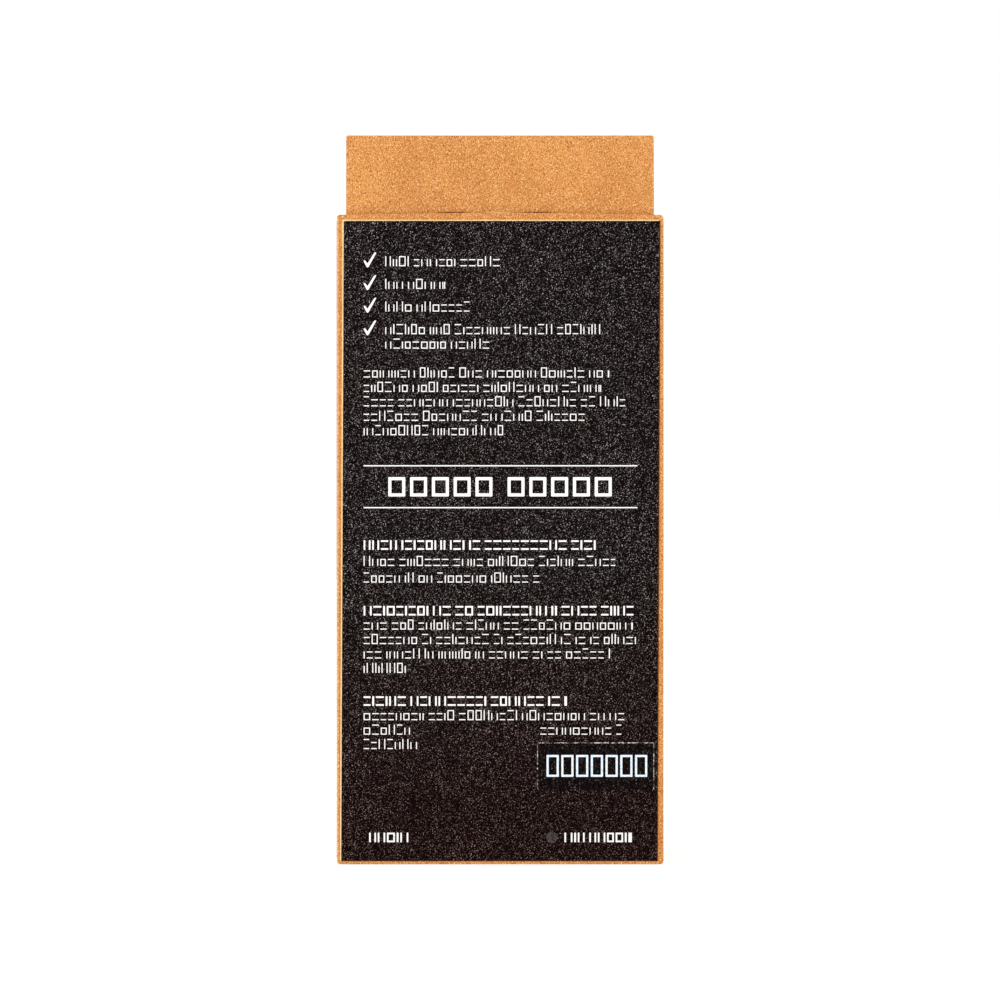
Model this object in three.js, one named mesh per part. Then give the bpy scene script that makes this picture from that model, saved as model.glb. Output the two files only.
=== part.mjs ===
// A boxed beard brush: a straight-tuck kraft carton with a header, a label on its back, a window in its front
// and a wooden palm brush in a card cradle inside. Millimetres, +Z up. The labelled back faces -Y and the
// bristles face +Y. The origin is the middle of the underside of the whole object's box.

import * as THREE from 'three';

// Carton, outside sizes, and the board that it is folded from.
const CARTON_WIDTH = 65;
const CARTON_HEIGHT = 129;
const BOARD = 0.5;
const FOLD_GAP = 0.1;
const GLUE_FILM = 0.05;

// Back panel: its top edge is cut a little high and bows up in the middle.
const BACK_EDGE_RISE = 0.05;
const BACK_EDGE_BOW = 0.45;
const BACK_CORNER_RADIUS = 0.7;

// Header, the part of the hanger panel that stands above the carton.
const HEADER_SIDE_RELIEF = 1.9;
const HEADER_RISE = 15.9;
const HEADER_CORNER_RADIUS = 0.4;
const HANGER_SIDE_CLEARANCE = 0.1;
const HANGER_SHOULDER_DROP = 0.6;

// Window in the front panel.
const WINDOW_SIDE_BORDER = 10.5;
const WINDOW_END_BORDER = 22.5;
const WINDOW_CORNER_RADIUS = 12;

// Lids, tuck flaps and dust flaps.
const LID_SIDE_RELIEF = 0.3;
const LID_TUCK_CLEARANCE = 0.25;
const TUCK_SIDE_RELIEF = 1.9;
const TUCK_LENGTH = 13;
const TUCK_CORNER_RADIUS = 5;
const TUCK_LEAN = THREE.MathUtils.degToRad(14);
const TUCK_CREASE_GAP = 0.6;
const DUST_FLAP_REACH = 16;
const DUST_FLAP_CORNER_RADIUS = 2;
const DUST_FLAP_TUCK_CLEARANCE = 3.2;

// Label on the back: cut a little out of square, so its top sits further right than its bottom.
const LABEL_SIDE_MARGIN = 1.05;
const LABEL_HEAD_MARGIN = 1.15;
const LABEL_FOOT_MARGIN = 0.65;
const LABEL_THICKNESS = 0.12;
const LABEL_LEAN = 0.5;
const LABEL_CENTRE_X = 0.15;

// Lot sticker on the label.
const STICKER_WIDTH = 23.3;
const STICKER_HEIGHT = 9.3;
const STICKER_THICKNESS = 0.08;
const STICKER_SIDE_MARGIN = 1.85;
const STICKER_FOOT_MARGIN = 14.95;
const STICKER_CORNER_RADIUS = 0.3;

// Card cradle for the brush.
const CARD = 0.5;
const CRADLE_SIDE_CLEARANCE = 1;
const CRADLE_BACK_CLEARANCE = 0.5;
const CRADLE_FRONT_CLEARANCE = 0.3;
const CRADLE_END_CLEARANCE = 0.5;
const WING_DEPTH = 14;
const TUCK_END_CLEARANCE = 0.5;

// Brush: an oval block with a domed back, a finger groove round its side and a flat face.
const BRUSH_CLEARANCE = 0.5;
const BRUSH_SIDE_ROOM = 7;
const BRUSH_THICKNESS = 16;
const BRUSH_SEGMENTS = 48;

// Bristles: parallel rows of tufts, trimmed to one height.
const BRISTLE_LENGTH = 16.5;
const TIP_CLEARANCE = 2.35;
const ROW_COUNT = 9;
const ROW_THICKNESS = 3.2;
const FIELD_SIDE_BORDER = 4.2;
const FIELD_END_BORDER = 3.6;
const FIELD_ROUNDNESS = 0.8;
const ROW_TIP_RADIUS = 1.2;

const FLAT_STEPS = 6;

// Sizes that follow from the ones above. The carton is as deep as its contents need.
const backPlies = BOARD + GLUE_FILM + BOARD;
const brushRoom = CRADLE_BACK_CLEARANCE + CARD + BRUSH_CLEARANCE + BRUSH_THICKNESS;
const cartonDepth = backPlies + brushRoom + FOLD_GAP + BRISTLE_LENGTH + TIP_CLEARANCE + BOARD;
const halfWidth = CARTON_WIDTH / 2;
const halfDepth = cartonDepth / 2;
const hangerBack = -halfDepth + BOARD + GLUE_FILM;
const hangerFace = hangerBack + BOARD;
const lidBackEdge = hangerFace + LID_TUCK_CLEARANCE;
const lidLength = halfDepth - lidBackEdge;
const flapLevel = BOARD + FOLD_GAP;
const sideEdge = flapLevel + BOARD + FOLD_GAP;
const cradleBack = hangerFace + CRADLE_BACK_CLEARANCE;
const cradleFront = halfDepth - BOARD - CRADLE_FRONT_CLEARANCE;
const cradleHalfWidth = halfWidth - BOARD - CRADLE_SIDE_CLEARANCE;
const shelfOutside = BOARD + TUCK_LENGTH + TUCK_END_CLEARANCE;
const shelfInside = shelfOutside + CARD;
const brushBack = cradleBack + CARD + BRUSH_CLEARANCE;
const brushFace = brushBack + BRUSH_THICKNESS;
const brushHalfLength = CARTON_HEIGHT / 2 - shelfInside - BRUSH_CLEARANCE;
const brushHalfWidth = halfWidth - BOARD - BRUSH_SIDE_ROOM;
const labelBack = -halfDepth - GLUE_FILM - LABEL_THICKNESS;
const stickerBack = labelBack - GLUE_FILM - STICKER_THICKNESS;
const backStack = -halfDepth - stickerBack;

const materials = {
  kraft: new THREE.MeshStandardMaterial({ color: 0xdc9653, roughness: 0.85, metalness: 0 }),
  label: new THREE.MeshStandardMaterial({ color: 0x2d2626, roughness: 0.6, metalness: 0 }),
  sticker: new THREE.MeshStandardMaterial({ color: 0x241c1c, roughness: 0.35, metalness: 0 }),
  card: new THREE.MeshStandardMaterial({ color: 0xc98a4e, roughness: 0.9, metalness: 0 }),
  wood: new THREE.MeshStandardMaterial({ color: 0xb98552, roughness: 0.5, metalness: 0 }),
  bristle: new THREE.MeshStandardMaterial({ color: 0x2b211b, roughness: 0.6, metalness: 0 }),
};

const model = new THREE.Group();
model.position.y = backStack / 2;

// Each mesh gets a material of its own, so that one piece can be recoloured alone.
function addPiece(parent, name, geometry, material) {
  const mesh = new THREE.Mesh(geometry, material.clone());
  mesh.name = name;
  parent.add(mesh);
  return mesh;
}

// A box between two corners.
function boxBetween(low, high) {
  const size = new THREE.Vector3().subVectors(high, low);
  const geometry = new THREE.BoxGeometry(size.x, size.y, size.z);
  geometry.translate((low.x + high.x) / 2, (low.y + high.y) / 2, (low.z + high.z) / 2);
  return geometry;
}

// A flat sheet that stands in the XZ plane. Its outline is drawn in x and z, and its thickness is along y.
function standingSheet(outline, back, thickness) {
  const geometry = new THREE.ExtrudeGeometry(outline, {
    depth: thickness,
    bevelEnabled: false,
    curveSegments: FLAT_STEPS,
  });
  geometry.rotateX(Math.PI / 2);
  geometry.translate(0, back + thickness, 0);
  return geometry;
}

// A flat sheet that lies in the XY plane, with its underside at the given height.
function lyingSheet(outline, bottom, thickness) {
  const geometry = new THREE.ExtrudeGeometry(outline, {
    depth: thickness,
    bevelEnabled: false,
    curveSegments: FLAT_STEPS,
  });
  geometry.translate(0, 0, bottom);
  return geometry;
}

function roundedRectangle(path, left, bottom, right, top, radius) {
  path.moveTo(left + radius, bottom);
  path.lineTo(right - radius, bottom);
  path.absarc(right - radius, bottom + radius, radius, -Math.PI / 2, 0, false);
  path.lineTo(right, top - radius);
  path.absarc(right - radius, top - radius, radius, 0, Math.PI / 2, false);
  path.lineTo(left + radius, top);
  path.absarc(left + radius, top - radius, radius, Math.PI / 2, Math.PI, false);
  path.lineTo(left, bottom + radius);
  path.absarc(left + radius, bottom + radius, radius, Math.PI, Math.PI * 1.5, false);
  return path;
}

function backPanel() {
  const top = CARTON_HEIGHT + BACK_EDGE_RISE;
  const radius = BACK_CORNER_RADIUS;
  const outline = new THREE.Shape();
  outline.moveTo(-halfWidth + radius, 0);
  outline.lineTo(halfWidth - radius, 0);
  outline.absarc(halfWidth - radius, radius, radius, -Math.PI / 2, 0, false);
  outline.lineTo(halfWidth, top - radius);
  outline.absarc(halfWidth - radius, top - radius, radius, 0, Math.PI / 2, false);
  outline.quadraticCurveTo(0, top + 2 * BACK_EDGE_BOW, -halfWidth + radius, top);
  outline.absarc(-halfWidth + radius, top - radius, radius, Math.PI / 2, Math.PI, false);
  outline.lineTo(-halfWidth, radius);
  outline.absarc(-halfWidth + radius, radius, radius, Math.PI, Math.PI * 1.5, false);
  addPiece(model, 'back_panel', standingSheet(outline, -halfDepth, BOARD), materials.kraft);
}

// The inner ply behind the back panel. It is as wide as the inside of the carton, and narrower as the header.
function hangerPanel() {
  const wide = halfWidth - BOARD - HANGER_SIDE_CLEARANCE;
  const narrow = halfWidth - HEADER_SIDE_RELIEF;
  const shoulder = CARTON_HEIGHT - HANGER_SHOULDER_DROP;
  const top = CARTON_HEIGHT + HEADER_RISE;
  const radius = HEADER_CORNER_RADIUS;
  const outline = new THREE.Shape();
  outline.moveTo(-wide, FOLD_GAP);
  outline.lineTo(wide, FOLD_GAP);
  outline.lineTo(wide, shoulder);
  outline.lineTo(narrow, shoulder);
  outline.lineTo(narrow, top - radius);
  outline.absarc(narrow - radius, top - radius, radius, 0, Math.PI / 2, false);
  outline.lineTo(-narrow + radius, top);
  outline.absarc(-narrow + radius, top - radius, radius, Math.PI / 2, Math.PI, false);
  outline.lineTo(-narrow, shoulder);
  outline.lineTo(-wide, shoulder);
  outline.closePath();
  addPiece(model, 'hanger_panel', standingSheet(outline, hangerBack, BOARD), materials.kraft);
}

function frontPanel() {
  const bottom = BOARD + FOLD_GAP;
  const top = CARTON_HEIGHT - BOARD - FOLD_GAP;
  const outline = new THREE.Shape();
  outline.moveTo(-halfWidth, bottom);
  outline.lineTo(halfWidth, bottom);
  outline.lineTo(halfWidth, top);
  outline.lineTo(-halfWidth, top);
  outline.closePath();
  const windowHalf = halfWidth - WINDOW_SIDE_BORDER;
  const windowTop = CARTON_HEIGHT - WINDOW_END_BORDER;
  const hole = new THREE.Path();
  roundedRectangle(hole, -windowHalf, WINDOW_END_BORDER, windowHalf, windowTop, WINDOW_CORNER_RADIUS);
  outline.holes.push(hole);
  addPiece(model, 'front_panel', standingSheet(outline, halfDepth - BOARD, BOARD), materials.kraft);
}

function sidePanels() {
  const back = -halfDepth + BOARD + FOLD_GAP;
  const front = halfDepth - BOARD - FOLD_GAP;
  for (const [side, name] of [[-1, 'left_side_panel'], [1, 'right_side_panel']]) {
    const faces = [side * halfWidth, side * (halfWidth - BOARD)];
    const low = new THREE.Vector3(Math.min(...faces), back, sideEdge);
    const high = new THREE.Vector3(Math.max(...faces), front, CARTON_HEIGHT - sideEdge);
    addPiece(model, name, boxBetween(low, high), materials.kraft);
  }
}

// The tuck flap on the free edge of a lid leans inward, so that it clears the hanger panel as the lid swings.
function tuckFlap(name, end) {
  const outline = new THREE.Shape();
  const half = halfWidth - TUCK_SIDE_RELIEF;
  const radius = TUCK_CORNER_RADIUS;
  outline.moveTo(-half, -TUCK_CREASE_GAP);
  outline.lineTo(-half, -TUCK_LENGTH + radius);
  outline.absarc(-half + radius, -TUCK_LENGTH + radius, radius, Math.PI, Math.PI * 1.5, false);
  outline.lineTo(half - radius, -TUCK_LENGTH);
  outline.absarc(half - radius, -TUCK_LENGTH + radius, radius, -Math.PI / 2, 0, false);
  outline.lineTo(half, -TUCK_CREASE_GAP);
  outline.closePath();
  const geometry = standingSheet(outline, 0, BOARD);
  geometry.rotateX(TUCK_LEAN);
  if (end < 0) mirror(geometry, 'z');
  geometry.translate(0, lidBackEdge, end > 0 ? CARTON_HEIGHT - BOARD : BOARD);
  addPiece(model, name, geometry, materials.kraft);
}

// Mirroring turns the faces inside out, so each triangle's last two corners are swapped as well.
function mirror(geometry, axis) {
  const positions = geometry.attributes.position;
  const corners = positions.array;
  const sign = { x: 1, y: 1, z: 1, [axis]: -1 };
  for (let start = 0; start < corners.length; start += 9) {
    const second = [...corners.slice(start + 3, start + 6)];
    corners.copyWithin(start + 3, start + 6, start + 9);
    corners.set(second, start + 6);
  }
  positions.needsUpdate = true;
  positions.applyMatrix4(new THREE.Matrix4().makeScale(sign.x, sign.y, sign.z));
  geometry.computeVertexNormals();
}

function lid(name, end) {
  const half = halfWidth - LID_SIDE_RELIEF;
  const bottom = end > 0 ? CARTON_HEIGHT - BOARD : 0;
  const low = new THREE.Vector3(-half, lidBackEdge, bottom);
  const high = new THREE.Vector3(half, halfDepth, bottom + BOARD);
  addPiece(model, name, boxBetween(low, high), materials.kraft);
}

// A dust flap lies just inside its lid, and is cut at 45 degrees in front to stay under the rising lid.
function dustFlap(name, side, end) {
  const front = halfDepth - BOARD - FOLD_GAP;
  const back = halfDepth - lidLength + DUST_FLAP_TUCK_CLEARANCE;
  const reach = DUST_FLAP_REACH;
  const radius = DUST_FLAP_CORNER_RADIUS;
  const outline = new THREE.Shape();
  outline.moveTo(0, front);
  outline.lineTo(0, back);
  outline.lineTo(reach - radius, back);
  outline.absarc(reach - radius, back + radius, radius, -Math.PI / 2, 0, false);
  outline.lineTo(reach, front - reach);
  outline.closePath();
  const bottom = end > 0 ? CARTON_HEIGHT - flapLevel - BOARD : flapLevel;
  const geometry = lyingSheet(outline, bottom, BOARD);
  if (side > 0) mirror(geometry, 'x');
  geometry.translate(side * halfWidth, 0, 0);
  addPiece(model, name, geometry, materials.kraft);
}

function closures() {
  for (const [end, place] of [[1, 'top'], [-1, 'bottom']]) {
    lid(`${place}_lid`, end);
    tuckFlap(`${place}_tuck_flap`, end);
    dustFlap(`${place}_dust_flap_left`, -1, end);
    dustFlap(`${place}_dust_flap_right`, 1, end);
  }
}

function backLabel() {
  const half = halfWidth - LABEL_SIDE_MARGIN;
  const shift = LABEL_LEAN / 2;
  const top = CARTON_HEIGHT - LABEL_HEAD_MARGIN;
  const outline = new THREE.Shape();
  outline.moveTo(LABEL_CENTRE_X - half - shift, LABEL_FOOT_MARGIN);
  outline.lineTo(LABEL_CENTRE_X + half - shift, LABEL_FOOT_MARGIN);
  outline.lineTo(LABEL_CENTRE_X + half + shift, top);
  outline.lineTo(LABEL_CENTRE_X - half + shift, top);
  outline.closePath();
  addPiece(model, 'back_label', standingSheet(outline, labelBack, LABEL_THICKNESS), materials.label);
}

function lotSticker() {
  const right = halfWidth - STICKER_SIDE_MARGIN;
  const left = right - STICKER_WIDTH;
  const bottom = STICKER_FOOT_MARGIN;
  const outline = new THREE.Shape();
  roundedRectangle(outline, left, bottom, right, bottom + STICKER_HEIGHT, STICKER_CORNER_RADIUS);
  addPiece(model, 'lot_sticker', standingSheet(outline, stickerBack, STICKER_THICKNESS), materials.sticker);
}

// The cradle is one folded card: a wall behind the brush, two wings, and a shelf with a leg at each end.
function cradle() {
  const brushSide = brushHalfWidth + BRUSH_CLEARANCE;
  const wallHalf = brushSide + CARD;
  const wallBottom = shelfInside + FOLD_GAP;
  const wallTop = CARTON_HEIGHT - wallBottom;
  const wallLow = new THREE.Vector3(-wallHalf, cradleBack, wallBottom);
  const wallHigh = new THREE.Vector3(wallHalf, cradleBack + CARD, wallTop);
  addPiece(model, 'cradle_back_wall', boxBetween(wallLow, wallHigh), materials.card);

  const wingBack = cradleBack + CARD + FOLD_GAP;
  for (const [side, name] of [[-1, 'cradle_left_wing'], [1, 'cradle_right_wing']]) {
    const faces = [side * brushSide, side * wallHalf];
    const low = new THREE.Vector3(Math.min(...faces), wingBack, wallBottom);
    const high = new THREE.Vector3(Math.max(...faces), wingBack + WING_DEPTH, wallTop);
    addPiece(model, name, boxBetween(low, high), materials.card);
  }

  const legFoot = sideEdge + CRADLE_END_CLEARANCE;
  for (const [end, place] of [[1, 'top'], [-1, 'bottom']]) {
    const shelf = cradleEnd(end, shelfOutside, shelfInside, cradleBack, cradleFront - CARD - FOLD_GAP);
    addPiece(model, `cradle_${place}_shelf`, shelf, materials.card);
    const leg = cradleEnd(end, legFoot, shelfInside, cradleFront - CARD, cradleFront);
    addPiece(model, `cradle_${place}_leg`, leg, materials.card);
  }
}

// A full-width piece of the cradle, placed by its distances from the carton's nearer end.
function cradleEnd(end, outside, inside, back, front) {
  const heights = end > 0 ? [CARTON_HEIGHT - inside, CARTON_HEIGHT - outside] : [outside, inside];
  const low = new THREE.Vector3(-cradleHalfWidth, back, heights[0]);
  const high = new THREE.Vector3(cradleHalfWidth, front, heights[1]);
  return boxBetween(low, high);
}

// The block is turned as a round profile and then drawn out to an oval. Each point is a share of the radius
// and of the thickness, from the middle of the domed back to the edge of the flat face.
function brushBody() {
  const dome = new THREE.SplineCurve([
    new THREE.Vector2(0, 0),
    new THREE.Vector2(0.38, 0.03),
    new THREE.Vector2(0.7, 0.13),
    new THREE.Vector2(0.9, 0.32),
    new THREE.Vector2(0.94, 0.5),
    new THREE.Vector2(0.92, 0.64),
    new THREE.Vector2(0.97, 0.79),
    new THREE.Vector2(1, 0.9),
    new THREE.Vector2(0.985, 0.97),
    new THREE.Vector2(0.96, 1),
  ]);
  const profile = dome.getPoints(24);
  profile[0].x = 0;
  profile.push(new THREE.Vector2(0, 1));
  const geometry = new THREE.LatheGeometry(profile, BRUSH_SEGMENTS);
  geometry.scale(brushHalfWidth, BRUSH_THICKNESS, brushHalfLength);
  geometry.translate(0, brushBack, CARTON_HEIGHT / 2);
  addPiece(model, 'brush_body', geometry, materials.wood);
}

// Each row of tufts fills a strip whose length follows the oval of the face.
function bristleRows() {
  const outermost = brushHalfWidth - FIELD_SIDE_BORDER - ROW_THICKNESS / 2;
  const pitch = (2 * outermost) / (ROW_COUNT - 1);
  const longest = brushHalfLength - FIELD_END_BORDER;
  for (let row = 0; row < ROW_COUNT; row += 1) {
    const x = row * pitch - outermost;
    const half = longest * Math.sqrt(1 - FIELD_ROUNDNESS * (x / outermost) ** 2);
    addPiece(model, `bristle_row_${row + 1}`, bristleRow(x, half), materials.bristle);
  }
}

// One strip of tufts, with its trimmed end rounded at both corners.
function bristleRow(x, half) {
  const root = brushFace + FOLD_GAP;
  const tip = root + BRISTLE_LENGTH;
  const radius = ROW_TIP_RADIUS;
  const outline = new THREE.Shape();
  outline.moveTo(-half, root);
  outline.lineTo(half, root);
  outline.lineTo(half, tip - radius);
  outline.absarc(half - radius, tip - radius, radius, 0, Math.PI / 2, false);
  outline.lineTo(-half + radius, tip);
  outline.absarc(-half + radius, tip - radius, radius, Math.PI / 2, Math.PI, false);
  outline.closePath();
  const geometry = new THREE.ExtrudeGeometry(outline, {
    depth: ROW_THICKNESS,
    bevelEnabled: false,
    curveSegments: FLAT_STEPS,
  });
  geometry.rotateY(-Math.PI / 2);
  geometry.translate(x + ROW_THICKNESS / 2, 0, CARTON_HEIGHT / 2);
  return geometry;
}

backPanel();
hangerPanel();
frontPanel();
sidePanels();
closures();
backLabel();
lotSticker();
cradle();
brushBody();
bristleRows();

export default model;
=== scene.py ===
"""A boxed beard brush: a kraft carton with a header and a black label, and the brush in its cradle."""

import math
import random

import bmesh
import bpy
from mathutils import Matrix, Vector


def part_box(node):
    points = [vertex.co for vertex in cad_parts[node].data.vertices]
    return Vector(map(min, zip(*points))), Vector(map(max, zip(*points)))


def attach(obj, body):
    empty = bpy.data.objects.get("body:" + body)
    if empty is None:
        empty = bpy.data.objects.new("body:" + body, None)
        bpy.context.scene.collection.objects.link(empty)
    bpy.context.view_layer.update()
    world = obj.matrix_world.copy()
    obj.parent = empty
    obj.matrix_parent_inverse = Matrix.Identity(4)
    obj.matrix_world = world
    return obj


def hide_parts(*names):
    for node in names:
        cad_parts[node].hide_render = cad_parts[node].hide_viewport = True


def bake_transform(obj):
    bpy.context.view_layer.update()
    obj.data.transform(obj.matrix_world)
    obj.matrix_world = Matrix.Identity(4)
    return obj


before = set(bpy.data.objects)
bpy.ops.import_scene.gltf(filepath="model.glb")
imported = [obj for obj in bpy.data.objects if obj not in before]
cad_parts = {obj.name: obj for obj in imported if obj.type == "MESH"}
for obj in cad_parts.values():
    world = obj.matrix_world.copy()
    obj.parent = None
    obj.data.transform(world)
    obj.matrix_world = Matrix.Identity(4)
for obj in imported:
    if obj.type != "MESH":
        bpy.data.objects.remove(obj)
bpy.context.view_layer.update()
random.seed(7)

MM = 0.001


def span(node):
    """A CAD node's lowest and highest corners, in millimetres."""
    low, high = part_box(node)
    return Vector(low) / MM, Vector(high) / MM


# ---------------------------------------------------------------- sizes, in millimetres

back_low, back_high = span("back_panel")
front_low, front_high = span("front_panel")
side_low, side_high = span("left_side_panel")
hanger_low, hanger_high = span("hanger_panel")
lid_low, lid_high = span("top_lid")
tuck_high = span("top_tuck_flap")[1]
dust_low, dust_high = span("top_dust_flap_left")
label_low, label_high = span("back_label")
sticker_low, sticker_high = span("lot_sticker")

HALF_WIDTH = back_high.x
BACK = back_low.y
FRONT = front_high.y
BOARD = back_high.y - back_low.y
HEIGHT = lid_high.z

# The sizes that a node's box doesn't give.
FOLD_RADIUS = 0.7
CREASE_RADIUS = 0.58
SEAM_GAP = 0.1
EDGE_RISE = 0.05
EDGE_BOW = back_high.z - HEIGHT - EDGE_RISE
WINDOW_SIDE_BORDER = 10.5
WINDOW_END_BORDER = 22.5
WINDOW_CORNER = 12
HEADER_RELIEF = 1.9
HEADER_HALF = HALF_WIDTH - HEADER_RELIEF
HEADER_CORNER = 0.4
HEADER_BOW = 0.28
HANGER_SHOULDER_DROP = 0.6
LID_RELIEF = 0.3
LID_FOLD_START = 0.62
LID_CORNER_CUT = 0.35
LID_CUT_REACH = 0.6
TUCK_HALF = tuck_high.x
TUCK_LEAN = math.radians(14)
TUCK_LENGTH = 13
TUCK_CORNER = 5
DUST_CORNER = 2

# How finely curves and long stretches are divided. HOLD is a short step beside a fold, for its shading.
ARC_STEPS = 7
PANEL_STEP = 4
HOLD = 0.15
TINY = 1e-6


# ---------------------------------------------------------------- mesh helpers


def mesh_object(name, points, faces, materials, face_slots=None, smooth_angle=40):
    """A mesh from millimetre points, shaded smooth except across edges sharper than the angle."""
    mesh = bpy.data.meshes.new(name)
    mesh.from_pydata([[c * MM for c in p] for p in points], [], faces)
    for material in materials:
        mesh.materials.append(material)
    if face_slots:
        mesh.polygons.foreach_set("material_index", face_slots)
    clean = bmesh.new()
    clean.from_mesh(mesh)
    bmesh.ops.recalc_face_normals(clean, faces=clean.faces)
    clean.to_mesh(mesh)
    clean.free()
    mesh.polygons.foreach_set("use_smooth", [True] * len(mesh.polygons))
    mesh.set_sharp_from_angle(angle=math.radians(smooth_angle))
    obj = bpy.data.objects.new(name, mesh)
    bpy.context.collection.objects.link(obj)
    return obj


def rounded_path(corners, radius, step=PANEL_STEP):
    """A 2D line through the corners, each inner corner replaced by an arc, and long stretches divided."""
    anchors = [Vector(c) for c in corners]
    line = [anchors[0]]
    for before, corner, after in zip(anchors, anchors[1:], anchors[2:]):
        inward = (before - corner).normalized()
        outward = (after - corner).normalized()
        half_turn = inward.angle(outward) / 2
        reach = radius / math.tan(half_turn)
        centre = corner + (inward + outward).normalized() * radius / math.sin(half_turn)
        start = corner + inward * reach - centre
        sweep = start.angle_signed(corner + outward * reach - centre)
        for i in range(ARC_STEPS + 1):
            turn = -sweep * i / ARC_STEPS
            line.append(centre + rotated(start, turn))
    line.append(anchors[-1])
    return divided(line, step)


def rotated(vector, angle):
    c, s = math.cos(angle), math.sin(angle)
    return Vector((vector.x * c - vector.y * s, vector.x * s + vector.y * c))


def divided(line, step):
    """The same line with its long stretches cut into steps, and a short step at each of their ends."""
    points = [line[0]]
    for a, b in zip(line, line[1:]):
        length = (b - a).length
        parts = math.ceil(length / step)
        if parts > 1:
            near, far = a.lerp(b, HOLD / length), b.lerp(a, HOLD / length)
            points.extend([near] + [near.lerp(far, i / parts) for i in range(1, parts)] + [far])
        points.append(b)
    return points


def side_normals(line):
    """The direction to the left of the line at each of its points."""
    normals = []
    for i in range(len(line)):
        along = line[min(i + 1, len(line) - 1)] - line[max(i - 1, 0)]
        normals.append(Vector((-along.y, along.x)).normalized())
    return normals


def folded_sheet(name, line, limits, place, thickness, materials, across_steps=8):
    """A sheet of board along a 2D line: limits(i) gives how far it runs each way across the line.

    place(u, v, w) turns the line's two coordinates and the one across it into a point. The sheet's thickness
    is laid to the left of the line. Its cut edges take the second material, and each fold the third, with the
    fourth along its crest.
    """
    normals = side_normals(line)
    bends = fold_slots(line) if len(materials) > 2 else [0] * len(line)
    rows = across_steps + 1
    points = []
    for layer in (0, thickness):
        for i, p in enumerate(line):
            low, high = limits(i)
            q = p + normals[i] * layer
            for j in range(rows):
                points.append(place(q.x, q.y, low + (high - low) * j / across_steps))
    count = len(line)
    inner = count * rows
    faces, slots = [], []

    def add(a, b, c, d, slot):
        faces.append((a, b, c, d))
        slots.append(slot)

    for i in range(count - 1):
        for j in range(across_steps):
            a = i * rows + j
            add(a, a + rows, a + rows + 1, a + 1, bends[i])
            add(inner + a, inner + a + 1, inner + a + rows + 1, inner + a + rows, bends[i])
        for j in (0, across_steps):
            a = i * rows + j
            add(a, a + rows, inner + a + rows, inner + a, 1)
    for i in (0, count - 1):
        for j in range(across_steps):
            a = i * rows + j
            add(a, a + 1, inner + a + 1, inner + a, 1)
    return mesh_object(name, points, faces, materials, slots)


def fold_slots(line):
    """The material slot of each step of the line: 0 where it is flat, 2 in a fold and 3 on its crest."""
    turns = []
    for i in range(len(line) - 1):
        before = line[max(i, 1)] - line[max(i, 1) - 1]
        along = line[i + 1] - line[i]
        after = line[min(i + 2, len(line) - 1)] - line[min(i + 1, len(line) - 2)]
        turns.append(before.angle(along) > 0.05 or after.angle(along) > 0.05)
    slots = [0] * len(line)
    i = 0
    while i < len(turns):
        if not turns[i]:
            i += 1
            continue
        stop = i
        while stop < len(turns) and turns[stop]:
            stop += 1
        for k in range(i, stop):
            crest = abs(k + 0.5 - (i + stop) / 2) < (stop - i) * 0.2
            slots[k] = 3 if crest else 2
        i = stop
    return slots


def prism_into(points, faces, outline, back, front):
    """Adds a closed prism: outline is drawn in x and z, and it fills y from back to front."""
    start = len(points)
    count = len(outline)
    points.extend((x, back, z) for x, z in outline)
    points.extend((x, front, z) for x, z in outline)
    faces.append(tuple(range(start, start + count)))
    faces.append(tuple(range(start + 2 * count - 1, start + count - 1, -1)))
    for i in range(count):
        j = (i + 1) % count
        faces.append((start + i, start + count + i, start + count + j, start + j))


def rounded_box(left, bottom, right, top, radius, steps=2):
    """The outline of a rectangle with rounded corners."""
    outline = []
    middles = [
        (right - radius, bottom + radius, -90),
        (right - radius, top - radius, 0),
        (left + radius, top - radius, 90),
        (left + radius, bottom + radius, 180),
    ]
    for x, z, first in middles:
        for i in range(steps + 1):
            angle = math.radians(first + 90 * i / steps)
            outline.append((x + radius * math.cos(angle), z + radius * math.sin(angle)))
    return outline


# ---------------------------------------------------------------- materials


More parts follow.
